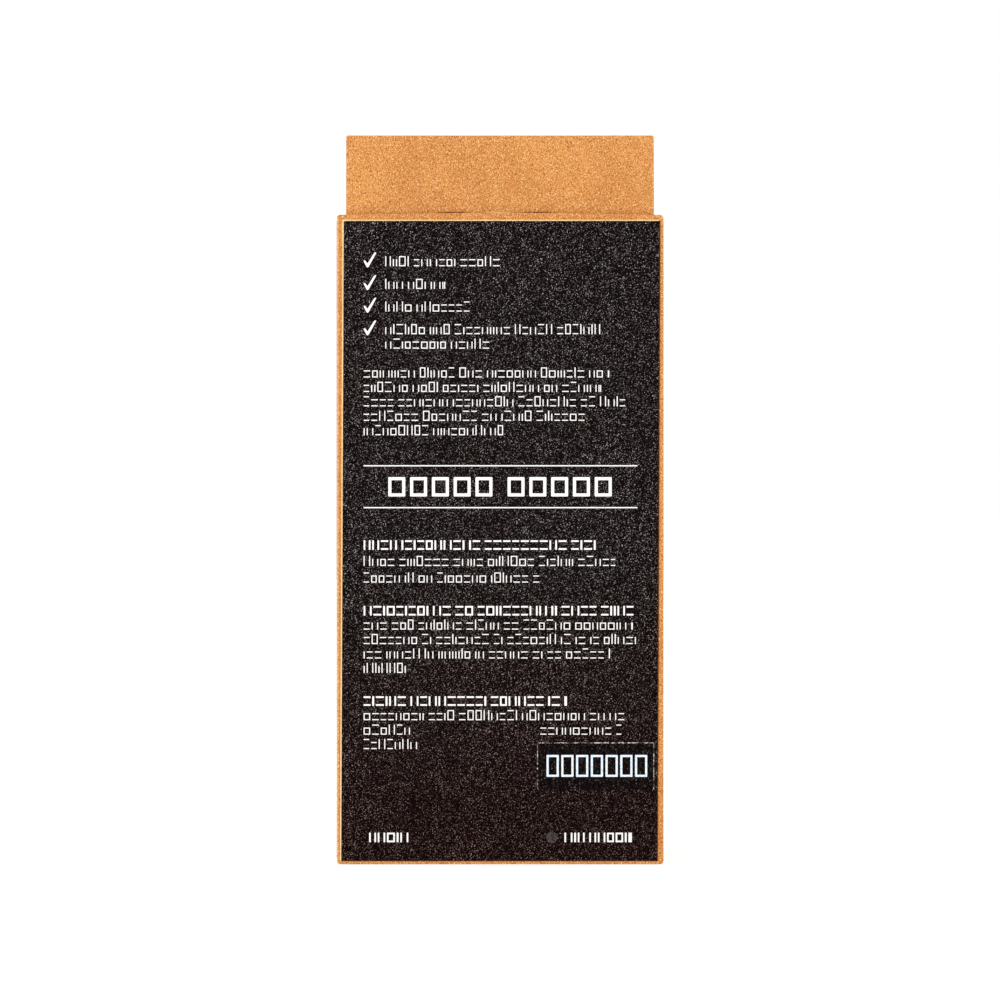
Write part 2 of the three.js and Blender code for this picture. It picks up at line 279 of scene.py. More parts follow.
class Look:
    """A procedural material under construction: its node tree and its main shader."""

    def __init__(self, name):
        self.material = bpy.data.materials.new(name)
        self.material.use_nodes = True
        self.tree = self.material.node_tree
        self.shader = self.tree.nodes["Principled BSDF"]
        self.place = self.tree.nodes.new("ShaderNodeTexCoord").outputs["Object"]

    def node(self, kind, **settings):
        made = self.tree.nodes.new(kind)
        for key, value in settings.items():
            setattr(made, key, value)
        return made

    def link(self, output, target):
        self.tree.links.new(output, target)

    def stretched(self, scale, turn=(0, 0, 0)):
        """The object's coordinates, turned first and then scaled, so the grain runs along the turned axes."""
        turned = self.node("ShaderNodeMapping")
        turned.inputs["Rotation"].default_value = turn
        self.link(self.place, turned.inputs["Vector"])
        scaled = self.node("ShaderNodeMapping")
        scaled.inputs["Scale"].default_value = scale
        self.link(turned.outputs["Vector"], scaled.inputs["Vector"])
        return scaled.outputs["Vector"]

    def noise(self, scale, detail=2.0, roughness=0.5, where=None):
        made = self.node("ShaderNodeTexNoise")
        made.inputs["Scale"].default_value = scale
        made.inputs["Detail"].default_value = detail
        made.inputs["Roughness"].default_value = roughness
        self.link(where or self.place, made.inputs["Vector"])
        return made.outputs["Fac"]

    def ramp(self, value, stops):
        made = self.node("ShaderNodeValToRGB")
        elements = made.color_ramp.elements
        while len(elements) < len(stops):
            elements.new(0.5)
        for element, (position, colour) in zip(elements, stops):
            element.position = position
            element.color = colour if len(colour) == 4 else (*colour, 1)
        self.link(value, made.inputs["Fac"])
        return made.outputs["Color"]

    def faded(self, value, start, stop, most):
        """A grey that rises from nothing to the most as the value goes from start to stop."""
        return self.ramp(value, [(start, (0, 0, 0)), (stop, (most,) * 3)])

    def mixed(self, factor, first, second):
        made = self.node("ShaderNodeMix", data_type="RGBA")
        for value, target in ((factor, made.inputs[0]), (first, made.inputs[6]), (second, made.inputs[7])):
            if isinstance(value, (int, float, tuple)):
                target.default_value = (*value, 1) if isinstance(value, tuple) else value
            else:
                self.link(value, target)
        return made.outputs[2]

    def bump(self, height, strength, distance=0.1 * MM):
        made = self.node("ShaderNodeBump")
        made.inputs["Strength"].default_value = strength
        made.inputs["Distance"].default_value = distance
        self.link(height, made.inputs["Height"])
        self.link(made.outputs["Normal"], self.shader.inputs["Normal"])

    def finish(self, colour, roughness, specular=0.5):
        if isinstance(colour, tuple):
            self.shader.inputs["Base Color"].default_value = (*colour, 1)
        else:
            self.link(colour, self.shader.inputs["Base Color"])
        self.shader.inputs["Roughness"].default_value = roughness
        self.shader.inputs["Specular IOR Level"].default_value = specular
        return self.material


def srgb(red, green, blue):
    """A colour given as screen values from 0 to 255, in linear light."""
    shares = (red / 255, green / 255, blue / 255)
    return tuple(c / 12.92 if c <= 0.04045 else ((c + 0.055) / 1.055) ** 2.4 for c in shares)


def board_look(name, base, dark, pale, grain=1.0):
    """Uncoated brown board: short upright fibres, dark and pale flecks, and slow clouding."""
    look = Look(name)
    fibres = look.noise(1, 2, 0.6, look.stretched((5400, 5400, 2900), (0.22, 0.22, 0)))
    cross = look.noise(1, 2, 0.6, look.stretched((5800, 5800, 3300), (-0.3, -0.3, 0.4)))
    clouds = look.noise(75, 3, 0.6)
    mottle = look.noise(380, 3, 0.65)
    flecks = look.noise(1, 2, 0.6, look.stretched((1900, 1900, 1000), (0.5, 0.5, 0)))
    colour = look.mixed(look.faded(clouds, 0.4, 0.64, 1.0), base, blended(base, dark, 0.32))
    colour = look.mixed(look.faded(mottle, 0.45, 0.7, 0.45), colour, blended(base, dark, 0.45))
    colour = look.mixed(look.faded(fibres, 0.47, 0.64, grain), colour, dark)
    colour = look.mixed(look.faded(cross, 0.52, 0.68, grain * 0.95), colour, pale)
    colour = look.mixed(look.faded(flecks, 0.68, 0.78, grain * 0.5), colour, blended(dark, BLACK, 0.3))
    look.bump(fibres, 0.4, 0.08 * MM)
    return look.finish(colour, 0.9, 0.1)


def blended(first, second, share):
    """A colour between two others."""
    return tuple(a + (b - a) * share for a, b in zip(first, second))


BLACK = (0.0, 0.0, 0.0)
KRAFT_BASE = srgb(216, 147, 78)
KRAFT_DARK = srgb(160, 84, 26)
KRAFT_PALE = srgb(252, 204, 144)

kraft = board_look("kraft_board", KRAFT_BASE, KRAFT_DARK, KRAFT_PALE)
kraft_edge = board_look("kraft_cut_edge", srgb(190, 130, 78), srgb(132, 80, 38), srgb(226, 184, 132))
# Fold colours: the darker fold board is painted shade where the rounded fold turns away from the light; the
# paler crest is painted highlight where it catches the light, and wear of the bent fibres.
shaded_fold_board = board_look("shaded_fold_board", srgb(208, 134, 68), srgb(148, 82, 32), srgb(236, 180, 116))
fold_crest_lit_and_worn = board_look("crest_of_fold_lit_and_worn", srgb(232, 178, 118), srgb(176, 110, 54), srgb(255, 226, 176))
KRAFT = [kraft, kraft_edge, shaded_fold_board, fold_crest_lit_and_worn]
card = board_look("insert_card", srgb(205, 150, 96), srgb(150, 98, 52), srgb(232, 196, 150))
card_edge = board_look("insert_card_edge", srgb(188, 140, 96), srgb(140, 96, 56), srgb(222, 190, 150))
cream_paper = board_look(
    "label_paper_edge", srgb(244, 210, 150), srgb(206, 150, 88), srgb(255, 234, 190), grain=0.7
)


def label_look():
    """Black print on fibrous paper: near-black, full of fine pale grains, and browner towards the foot."""
    look = Look("label_black")
    grains = look.noise(1, 1, 0.6, look.stretched((4300, 4300, 4300)))
    threads = look.noise(1, 1, 0.6, look.stretched((2600, 2600, 4400), (0, 0.6, 0)))
    clouds = look.noise(90, 2, 0.6)
    tints = look.noise(700, 2, 0.6)
    height = look.node("ShaderNodeSeparateXYZ")
    look.link(look.place, height.inputs["Vector"])
    rise = look.node("ShaderNodeMapRange")
    look.link(height.outputs["Z"], rise.inputs["Value"])
    rise.inputs["From Min"].default_value = 0.01
    rise.inputs["From Max"].default_value = 0.06
    ground = look.mixed(rise.outputs["Result"], srgb(16, 5, 6), srgb(14, 9, 10))
    grain_colour = look.mixed(rise.outputs["Result"], srgb(182, 152, 140), srgb(208, 196, 192))
    grain_colour = look.mixed(look.faded(tints, 0.45, 0.6, 0.6), grain_colour, srgb(120, 84, 72))
    coverage = look.faded(clouds, 0.3, 0.7, 0.35)
    colour = look.mixed(look.faded(grains, 0.62, 0.75, 0.95), ground, grain_colour)
    colour = look.mixed(look.faded(threads, 0.64, 0.78, 0.55), colour, grain_colour)
    colour = look.mixed(coverage, colour, ground)
    look.bump(grains, 0.3, 0.04 * MM)
    return look.finish(colour, 0.85, 0.02)


def print_look():
    look = Look("white_print")
    grains = look.noise(3000, 2, 0.6)
    colour = look.ramp(grains, [(0.3, srgb(232, 228, 224)), (0.6, srgb(252, 250, 248))])
    return look.finish(colour, 0.6, 0.2)


def faint_print_look():
    look = Look("faint_print")
    grains = look.noise(2600, 2, 0.7)
    return look.finish(look.ramp(grains, [(0.35, srgb(34, 28, 27)), (0.6, srgb(78, 70, 68))]), 0.8, 0.05)


def sticker_look():
    """Black film with pale streaks painted in as a slight sheen, and a few pale scuffs."""
    look = Look("sticker_film")
    grains = look.noise(2600, 3, 0.75)
    painted_sheen = look.noise(1, 2, 0.6, look.stretched((1800, 1800, 500)))
    colour = look.ramp(grains, [(0.45, srgb(5, 3, 4)), (0.6, srgb(22, 14, 13)), (0.72, srgb(124, 106, 98))])
    colour = look.mixed(look.faded(painted_sheen, 0.6, 0.75, 0.4), colour, srgb(70, 58, 54))
    look.bump(grains, 0.15, 0.02 * MM)
    return look.finish(colour, 0.7, 0.03)


def rim_highlight_and_wear_look():
    """The sticker's lifted rim: specks where the black has chipped off the film, and a painted highlight
    where the raised edge catches the light.
    """
    look = Look("sticker_edge_highlight_and_wear")
    chips = look.noise(1500, 3, 0.8)
    colour = look.ramp(
        chips,
        [(0.45, srgb(22, 14, 13)), (0.52, srgb(120, 108, 100)), (0.62, srgb(224, 216, 208))],
    )
    look.bump(chips, 0.3, 0.03 * MM)
    return look.finish(colour, 0.6, 0.1)


def sticker_print_look():
    look = Look("sticker_print")
    grains = look.noise(2500, 2, 0.6)
    colour = look.ramp(grains, [(0.3, srgb(196, 214, 226)), (0.62, srgb(240, 248, 255))])
    return look.finish(colour, 0.45, 0.3)


def wood_look():
    """Satin beech: long grain, short dark rays and a thin clear coat."""
    look = Look("beech")
    grain = look.noise(1, 5, 0.65, look.stretched((620, 620, 34), (0, 0.04, 0)))
    rays = look.noise(1, 2, 0.5, look.stretched((3600, 3600, 420)))
    bands = look.noise(1, 2, 0.5, look.stretched((150, 150, 9), (0, 0.05, 0)))
    colour = look.ramp(
        grain,
        [(0.3, srgb(182, 122, 72)), (0.5, srgb(214, 160, 106)), (0.7, srgb(238, 194, 144))],
    )
    colour = look.mixed(look.faded(bands, 0.4, 0.7, 0.45), colour, srgb(188, 128, 80))
    colour = look.mixed(look.faded(rays, 0.62, 0.72, 0.6), colour, srgb(112, 66, 36))
    look.bump(grain, 0.12, 0.05 * MM)
    look.shader.inputs["Coat Weight"].default_value = 0.35
    look.shader.inputs["Coat Roughness"].default_value = 0.25
    return look.finish(colour, 0.42, 0.5)


def bristle_look(low, high):
    """Natural bristle: dark brown at the root, paler and browner at the split tips."""
    look = Look("natural_bristle")
    split = look.node("ShaderNodeSeparateXYZ")
    look.link(look.place, split.inputs["Vector"])
    along = look.node("ShaderNodeMapRange")
    look.link(split.outputs["Y"], along.inputs["Value"])
    along.inputs["From Min"].default_value = low * MM
    along.inputs["From Max"].default_value = high * MM
    root_to_tip = [
        (0.0, srgb(30, 21, 16)),
        (0.72, srgb(52, 36, 26)),
        (0.93, srgb(96, 68, 46)),
        (1.0, srgb(150, 116, 82)),
    ]
    length = look.ramp(along.outputs["Result"], root_to_tip)
    strands = look.noise(1, 2, 0.6, look.stretched((2600, 60, 2600)))
    colour = look.mixed(look.faded(strands, 0.4, 0.65, 0.55), length, srgb(20, 14, 11))
    look.bump(strands, 0.1, 0.02 * MM)
    return look.finish(colour, 0.42, 0.5)


def shadow_look():
    look = Look("cut_shadow")
    grains = look.noise(3000, 2, 0.6)
    return look.finish(look.ramp(grains, [(0.3, srgb(48, 20, 8)), (0.7, srgb(92, 46, 20))]), 0.9, 0.1)


label_black = label_look()
white_print = print_look()
sticker_film = sticker_look()
sticker_print = sticker_print_look()
lit_worn_rim_film = rim_highlight_and_wear_look()
faint_print = faint_print_look()
beech = wood_look()
cut_shadow = shadow_look()


# ---------------------------------------------------------------- carton walls


def back_top(x):
    """The height of the back panel's top edge, which bows up and rounds off at the corners."""
    share = min(1, abs(x) / HALF_WIDTH)
    return HEIGHT + EDGE_RISE + EDGE_BOW * (1 - share * share) - corner_drop(x, HALF_WIDTH, FOLD_RADIUS)


def corner_drop(x, half, radius):
    """How far an outline falls below its straight edge near a rounded corner."""
    into = min(radius, max(0, abs(x) - (half - radius)))
    return radius - math.sqrt(max(0, radius * radius - into * into))


def carton_walls():
    """Back, left side, front and right side as one folded strip, with the window cut in the front."""
    corners = [
        (HALF_WIDTH, BACK),
        (-HALF_WIDTH, BACK),
        (-HALF_WIDTH, FRONT),
        (HALF_WIDTH, FRONT),
        (HALF_WIDTH, BACK + BOARD + SEAM_GAP),
    ]
    line = rounded_path(corners, FOLD_RADIUS)
    start = line[0]
    rest = [p for p in line[1:] if (p - start).length > FOLD_RADIUS + HOLD or p.y > BACK + TINY]
    line = [start] + fine_start(line) + rest
    normals = side_normals(line)

    def limits(i):
        p = line[i]
        outward = normals[i]
        if outward.y < -0.6:
            return corner_drop(p.x, HALF_WIDTH, FOLD_RADIUS), back_top(p.x)
        if outward.y > 0.6:
            return front_low.z, front_high.z
        return side_low.z, side_high.z

    return folded_sheet("carton_walls", line, limits, lambda u, v, w: (u, v, w), -BOARD, KRAFT, 30)


def fine_start(line):
    """Extra points near the free edge of the back panel, for its rounded corners."""
    first, second = line[0], line[1]
    direction = (second - first).normalized()
    return [first + direction * FOLD_RADIUS * (1 - math.cos(math.pi / 2 * i / 6)) for i in range(1, 7)]


def cut_window(walls):
    """Cuts the window through the front wall, with cut edges on its rim."""
    half = HALF_WIDTH - WINDOW_SIDE_BORDER
    outline = rounded_box(-half, WINDOW_END_BORDER, half, HEIGHT - WINDOW_END_BORDER, WINDOW_CORNER, 16)
    points, faces = [], []
    prism_into(points, faces, outline, FRONT - 3, FRONT + 3)
    cutter = mesh_object("window_cutter", points, faces, [kraft_edge])
    cut = walls.modifiers.new("window", "BOOLEAN")
    cut.operation = "DIFFERENCE"
    cut.solver = "EXACT"
    cut.object = cutter
    cut.material_mode = "TRANSFER"
    bake(walls)
    bpy.data.objects.remove(cutter, do_unlink=True)


def bake(obj):
    """Applies the object's modifiers to its mesh."""
    graph = bpy.context.evaluated_depsgraph_get()
    mesh = bpy.data.meshes.new_from_object(obj.evaluated_get(graph), depsgraph=graph)
    obj.modifiers.clear()
    obj.data = mesh


walls = carton_walls()
cut_window(walls)
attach(walls, "carton")
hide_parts("back_panel", "left_side_panel", "front_panel", "right_side_panel")


def hanger():
    """The inner back ply. Above the carton it is narrower and shows as the header, very slightly bowed."""
    wide = hanger_high.x
    shoulder = HEIGHT - HANGER_SHOULDER_DROP
    top = hanger_high.z
    just_outside = HEADER_HALF + 0.02
    edge = [HEADER_HALF - HEADER_CORNER * (1 - math.cos(math.pi / 2 * i / 5)) for i in range(6)]
    xs = [wide, just_outside] + edge
    inner = divided([Vector((edge[-1], 0)), Vector((-edge[-1], 0))], 2.5)
    xs += [p.x for p in inner[1:-1]] + [-x for x in reversed(xs)]
    line = [Vector((x, hanger_low.y)) for x in reversed(xs)]

    def limits(i):
        x = line[i].x
        if abs(x) > HEADER_HALF:
            return hanger_low.z, shoulder
        return hanger_low.z, top - corner_drop(x, HEADER_HALF, HEADER_CORNER)

    def place(u, v, w):
        lift = max(0, (w - HEIGHT) / (top - HEIGHT))
        bow = HEADER_BOW * lift * (1 - (u / HALF_WIDTH) ** 2)
        return u, v + bow, w

    sheet = folded_sheet("header_and_inner_back", line, limits, place, BOARD, KRAFT, 40)
    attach(sheet, "carton")
    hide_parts("hanger_panel")


hanger()


CREASE_RISE = 0.12


def header_foot_marks():
    """Two dark slivers of painted shade, where the header meets the back panel's top edge, and a pale sliver
    between them, along the header's foot.
    """
    level = back_top(0) + CREASE_RISE
    for name, left, right, tall, material in (
        ("painted_gap_shade_left", -12.4, -6.0, 0.2, cut_shadow),
        ("painted_gap_shade_right", 3.6, 11.2, 0.16, cut_shadow),
        ("pale_sliver", -3.4, 2.8, 0.3, cream_paper),
    ):
        steps = 14
        lower, upper = [], []
        for i in range(steps):
            share = i / steps
            depth = tall / 2 * math.sin(math.pi * share) * (0.8 + 0.2 * math.cos(9 * share))
            lower.append((left + (right - left) * share, level - depth))
        for i in range(steps):
            share = 1 - i / steps
            rise = tall / 2 * math.sin(math.pi * share) * (0.8 + 0.2 * math.sin(7 * share))
            upper.append((left + (right - left) * share, level + rise))
        points, faces = [], []
        face = hanger_low.y
        prism_into(points, faces, lower + upper, face - 0.03, face + 0.02)
        mark = mesh_object(name, points, faces, [material])
        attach(mark, "carton")


header_foot_marks()


# ---------------------------------------------------------------- lids and flaps


def carton_ends():
    """For each end of the carton: its name, and what turns a height at the top into one at that end."""
    yield "top", lambda z: z
    yield "bottom", lambda z: HEIGHT - z


def lid_sheet(end, level):
    """The lid, with the fold that joins it to the front panel."""
    rear = lid_low.y + LID_FOLD_START
    line = rounded_path([(FRONT, front_high.z), (FRONT, HEIGHT), (rear, HEIGHT)], CREASE_RADIUS)
    half = lid_high.x

    def limits(i):
        from_front = max(0.0, FRONT - line[i].x) / LID_CUT_REACH
        from_rear = (line[i].x - rear) / LID_CUT_REACH
        inset = LID_RELIEF * max(0.0, 1 - from_front) + LID_CORNER_CUT * max(0.0, 1 - from_rear) ** 2
        return -half + inset, half - inset

    sheet = folded_sheet(
        f"{end}_lid_sheet", line, limits, lambda u, v, w: (w, u, level(v)), BOARD, KRAFT, 10
    )
    level(front_high.z) * MM
    level(HEIGHT) * MM
    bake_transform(sheet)
    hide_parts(f"{end}_lid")


def tuck_sheet(end, level):
    """The tuck flap, with the fold that joins it to the lid. Its free corners are round."""
    down = Vector((math.sin(TUCK_LEAN), -math.cos(TUCK_LEAN)))
    hinge = Vector((lid_low.y, HEIGHT - BOARD))
    corner = hinge - down * (BOARD / math.cos(TUCK_LEAN))
    tip = hinge + down * TUCK_LENGTH
    start = (lid_low.y + LID_FOLD_START, HEIGHT)
    line = rounded_path([start, tuple(corner), tuple(tip)], CREASE_RADIUS, 2)
    rounding = [tip - down * TUCK_CORNER * (1 - math.sin(math.pi / 2 * i / 8)) for i in range(9)]
    line = [p for p in line if (tip - p).length > TUCK_CORNER + 0.05] + rounding

    def limits(i):
        from_tip = min(TUCK_CORNER, (tip - line[i]).length)
        into = TUCK_CORNER - from_tip
        inset = TUCK_CORNER - math.sqrt(max(0, TUCK_CORNER**2 - into**2))
        return -TUCK_HALF + inset, TUCK_HALF - inset

    sheet = folded_sheet(
        f"{end}_tuck_sheet", line, limits, lambda u, v, w: (w, u, level(v)), BOARD, KRAFT, 10
    )
    level(HEIGHT) * MM
    level(HEIGHT - BOARD - 0.3) * MM
    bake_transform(sheet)
    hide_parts(f"{end}_tuck_flap")


def dust_sheet(end, level, side, side_name):
    """A dust flap, with the fold that joins it to its side panel, and a 45 degree cut in front."""
    top = dust_high.z
    reach = dust_high.x - dust_low.x
    edge = -HALF_WIDTH
    line = rounded_path([(edge, side_high.z), (edge, top), (edge + reach, top)], CREASE_RADIUS, 2)
    rounding = [edge + reach - DUST_CORNER * (1 - math.sin(math.pi / 2 * i / 6)) for i in range(7)]
    line = [p for p in line if p.x < rounding[0] - 0.05] + [Vector((x, top)) for x in rounding]

    def limits(i):
        into = line[i].x - edge
        past = max(0, into - (reach - DUST_CORNER))
        rear = dust_low.y + DUST_CORNER - math.sqrt(max(0, DUST_CORNER**2 - past**2))
        return rear, dust_high.y - max(0, into - 0.1)

    sheet = folded_sheet(
        f"{end}_dust_sheet_{side_name}", line, limits,
        lambda u, v, w: (side * -u, w, level(v)), -BOARD, KRAFT, 8,
    )
    level(side_high.z) * MM
    level(top) * MM
    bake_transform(sheet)
    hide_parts(f"{end}_dust_flap_{side_name}")


for end, level in carton_ends():
    lid_sheet(end, level)
    tuck_sheet(end, level)
    dust_sheet(end, level, -1, "left")
    dust_sheet(end, level, 1, "right")


# ---------------------------------------------------------------- label, print and sticker

LABEL_LEAN = 0.5
PAPER_MARGIN = 0.28
EDGE_SHADE = 0.2
FILM = 0.02
INK = 0.03
LIFT = 0.002
label_face = label_low.y


def leaning(x, z):
    """Moves a point sideways as the label's out-of-square cut does."""
    return x + LABEL_LEAN * ((z - label_low.z) / (label_high.z - label_low.z) - 0.5)


def label_sheet():
    """Cream label paper and its black print.

    The print leaves a thin margin of paper at the left and the top. At the right and the foot it ends just
    short of the cut edge, which lies in shade.
    """
    left, right = label_low.x + LABEL_LEAN / 2, label_high.x - LABEL_LEAN / 2
    bottom, top = label_low.z, label_high.z
    paper_left, paper_top = left - PAPER_MARGIN, top + PAPER_MARGIN
    print_right, print_bottom = right - EDGE_SHADE, bottom + EDGE_SHADE / 2
    shade_face = label_face + FILM / 2
    paper_face = label_face + FILM
    print_rear = shade_face - LIFT
    rear = label_high.y
    for name, (west, south, east, north), front, back, material in (
        ("label_edge_shade", (left, bottom, right, top), shade_face, rear, cut_shadow),
        ("label_paper", (paper_left, bottom, print_right, paper_top), paper_face, rear, cream_paper),
        ("label_print_ground", (left, print_bottom, print_right, top), label_face, print_rear, label_black),
    ):
        corners = [(west, south), (east, south), (east, north), (west, north)]
        outline = [(leaning(x, z), z) for x, z in corners]
        points, faces = [], []
        prism_into(points, faces, outline, back, front)
        sheet = mesh_object(name, points, faces, [material])
        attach(sheet, "carton")
        if name == "label_paper":
            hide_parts("back_label")


label_sheet()


class Ink:
    """Collects flat marks on the label and makes one mesh of them."""

    def __init__(self, face):
        self.points, self.faces, self.face = [], [], face

    def block(self, left, bottom, right, top, radius=0.12):
        radius = min(radius, (right - left) / 2.01, (top - bottom) / 2.01)
        self.outline(rounded_box(left, bottom, right, top, radius))

    def frame(self, left, bottom, right, top, stroke):
        """A hollow box, in place of a letter."""
        outer = rounded_box(left, bottom, right, top, stroke * 0.25)
        inner = rounded_box(left + stroke, bottom + stroke, right - stroke, top - stroke, stroke * 0.1)
        start = len(self.points)
        count = len(outer)
        for loop in (outer, inner):
            for y in (self.face - INK, self.face - LIFT):
                self.points.extend((x, y, z) for x, z in loop)
        for i in range(count):
            j = (i + 1) % count
            for a, b in ((0, 1), (1, 3), (3, 2), (2, 0)):
                here, there = start + count * a, start + count * b
                self.faces.append((here + i, there + i, there + j, here + j))

    def outline(self, outline):
        prism_into(self.points, self.faces, outline, self.face - INK, self.face - LIFT)

    def build(self, name, material):
        marks = mesh_object(name, self.points, self.faces, [material])
        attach(marks, "carton")


def greeked(ink, left, base, right, top, stroke):
    """A mark in place of a letter: a hollow box, two rungs, two posts, or one post where it is narrow."""
    kind = random.random()
    if right - left < 2.2 * stroke:
        ink.block(left, base, right, top, 0.06)
    elif kind < 0.2:
        ink.frame(left, base, right, top, stroke)
    elif kind < 0.65:
        ink.block(left, top - stroke, right, top, 0.06)
        ink.block(left, base, right, base + stroke, 0.06)
    else:
        ink.block(left, base, left + stroke, top, 0.06)
        ink.block(right - stroke, base, right, top, 0.06)


def greeked_line(ink, left, right, base, size, stroke, heights, widths, gap):
    """A line of greeked words that spell nothing: marks of mixed heights, with spaces between the words."""
    x = left
    letters = random.randint(3, 9)
    while x < right - stroke:
        width = min(size * random.choice(widths), right - x)
        greeked(ink, x, base, x + width, base + size * random.choice(heights), stroke)
        x += width + gap
        letters -= 1
        if letters == 0:
            x += size * 0.3
            letters = random.randint(2, 9)


def text_line(ink, left, right, base):
    """A thin line of mostly low marks."""
    heights = (0.7, 0.7, 0.7, 1.0)
    widths = (0.11, 0.55, 0.6, 0.65)
    greeked_line(ink, left, right, base, TEXT_SIZE, TEXT_STROKE, heights, widths, TEXT_GAP)


def heading_line(ink, left, right, base):
    """A bold line of marks that are all tall."""
    widths = (0.2, 0.72, 0.78, 0.84)
    greeked_line(ink, left, right, base, HEADING_SIZE, HEADING_STROKE, (1.0,), widths, HEADING_GAP)


def check_mark(ink, left, base):
    """A tick drawn as one outline, with a short arm, a long arm and blunt ends."""
    shape = [
        (0.0, 1.35), (0.25, 1.45), (0.78, 0.8), (2.0, 2.75), (2.24, 2.98), (2.48, 3.03),
        (2.46, 2.78), (1.02, 0.2), (0.85, 0.02), (0.68, 0.02), (0.52, 0.25), (0.05, 1.15),
    ]
    ink.outline([(left + x, base + z) for x, z in shape])


# The label's layout. Heights are from the carton's foot, and places across are from its middle.
LEFT_EDGE = -27.1
RIGHT_EDGE = 27.3
INDENT = 4.3
TEXT_SIZE = 2.0
TEXT_STROKE = 0.2
TEXT_GAP = 0.4
HEADING_SIZE = 1.9
HEADING_STROKE = 0.33
HEADING_GAP = 0.34
LEADING = 2.87
BULLET_TOP = 118.85
BULLET_PITCH = 4.5
BULLET_ENDS = (0.2, -10.9, -5.5, 21.1)
BULLET_RUN_ON_END = -1.8
PARAGRAPHS = (
    (96.75, LEADING, (21.7, 20.1, 25.2, 17.1, 0.6)),
    (59.3, 3.3, (22.9, 8.2)),
    (46.65, LEADING, (26.4, 27.0, 22.3, -17.9)),
    (28.65, LEADING, (24.8, -17.9, -16.3)),
)
BROKEN_LINE = (28.65 - LEADING, 8.0, 24.1)
HEADINGS = ((62.5, 19.1), (49.45, 27.0), (31.5, 13.3))
RULES = (79.2, 70.88)
RULE_HALF = 0.12
TICK_DROP = 0.25
TITLE_BASE = 73.1
TITLE_HALF = 22.2
TITLE_SIZE = 3.85
TITLE_STROKE = 0.62
FOOTER_BASE = 4.4
FOOTER_SPANS = ((-26.0, -18.2), (12.8, 26.2))
DOT_MIDDLE = (10.3, 5.35)
DOT_RADIUS = 1.15


def label_print():
    """All the marks on the label, as two meshes: the white ones and the faint dot."""
    ink = Ink(label_face)
    for line, right in enumerate(BULLET_ENDS):
        base = BULLET_TOP - BULLET_PITCH * line
        check_mark(ink, LEFT_EDGE, base - TICK_DROP)
        text_line(ink, LEFT_EDGE + INDENT, right, base)
    text_line(ink, LEFT_EDGE + INDENT, BULLET_RUN_ON_END, base - LEADING)
    for first, leading, ends in PARAGRAPHS:
        for line, right in enumerate(ends):
            text_line(ink, LEFT_EDGE, right, first - leading * line)
    base, left, right = BROKEN_LINE
    text_line(ink, left, right, base)
    for base, right in HEADINGS:
        heading_line(ink, LEFT_EDGE, right, base)
    for level in RULES:
        ink.block(LEFT_EDGE, level - RULE_HALF, RIGHT_EDGE, level + RULE_HALF, 0.02)
    title_blocks(ink)
    for left, right in FOOTER_SPANS:
        heading_line(ink, left, right, FOOTER_BASE)
    ink.build("label_print_marks", white_print)
    faint = Ink(label_face)
    faint.outline(circle(*DOT_MIDDLE, DOT_RADIUS, 24))
    faint.build("label_faint_mark", faint_print)


def circle(x, z, radius, steps):
    """The outline of a circle."""
    angles = [math.tau * i / steps for i in range(steps)]
    return [(x + radius * math.cos(a), z + radius * math.sin(a)) for a in angles]


def title_blocks(ink):
    """Ten heavy hollow boxes in two groups, in place of the title."""
    count = 10
    space = 3.0
    gap = 0.95
    width = (2 * TITLE_HALF - space - (count - 2) * gap) / count
    x = -TITLE_HALF
    for i in range(count):
        ink.frame(x, TITLE_BASE, x + width, TITLE_BASE + TITLE_SIZE, TITLE_STROKE)
        x += width + (space if i == count // 2 - 1 else gap)


label_print()


STICKER_RIM = 0.2
CODE_COUNT = 7
CODE_GAP = 0.5
CODE_LEFT = 1.9
CODE_SIDES = 3.3
CODE_BASE = 2.45
CODE_TOP = 6.8
CODE_STROKE = 0.42


def lot_sticker():
    """A small black sticker with a pale rim, worn and with a painted highlight, and hollow boxes in place of
    its code.
    """
    left, right = sticker_low.x, sticker_high.x
    bottom, top = sticker_low.z, sticker_high.z
    face = sticker_low.y + INK
    points, faces = [], []
    prism_into(points, faces, rounded_box(left, bottom, right, top, 0.3, 4), face, sticker_high.y)
    film = mesh_object("sticker_film", points, faces, [sticker_film])
    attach(film, "carton")
    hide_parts("lot_sticker")
    rim = Ink(face)
    for west, south, east, north in (
        (left, bottom, left + STICKER_RIM, top),
        (left, top - STICKER_RIM, right, top),
        (right - STICKER_RIM, bottom, right, top),
    ):
        rim.block(west, south, east, north, 0.03)
    rim.build("sticker_lit_and_worn_rim", lit_worn_rim_film)
    ink = Ink(face)
    width = (right - left - CODE_SIDES - (CODE_COUNT - 1) * CODE_GAP) / CODE_COUNT
    for i in range(CODE_COUNT):
        x = left + CODE_LEFT + i * (width + CODE_GAP)
        ink.frame(x, bottom + CODE_BASE, x + width, bottom + CODE_TOP, CODE_STROKE)
    ink.build("sticker_print_marks", sticker_print)


lot_sticker()


# ---------------------------------------------------------------- cradle


WING_END_CUT = 1.5


def cradle_wall():
    """The wall behind the brush and its two wings, folded from one card."""
    wall_low, wall_high = span("cradle_back_wall")
    wing_front = span("cradle_right_wing")[1].y
    half = wall_high.x
    corners = [(half, wing_front), (half, wall_low.y), (-half, wall_low.y), (-half, wing_front)]
    line = rounded_path(corners, CREASE_RADIUS, 6)
    last = len(line) - 1

    def limits(i):
        inset = WING_END_CUT if i in (0, last) else 0
        return wall_low.z + inset, wall_high.z - inset

    sheet = folded_sheet(
        "cradle_wall_and_wings", line, limits, lambda u, v, w: (u, v, w), -BOARD, [card, card_edge], 12
    )
    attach(sheet, "carton")
    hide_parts("cradle_back_wall", "cradle_left_wing", "cradle_right_wing")


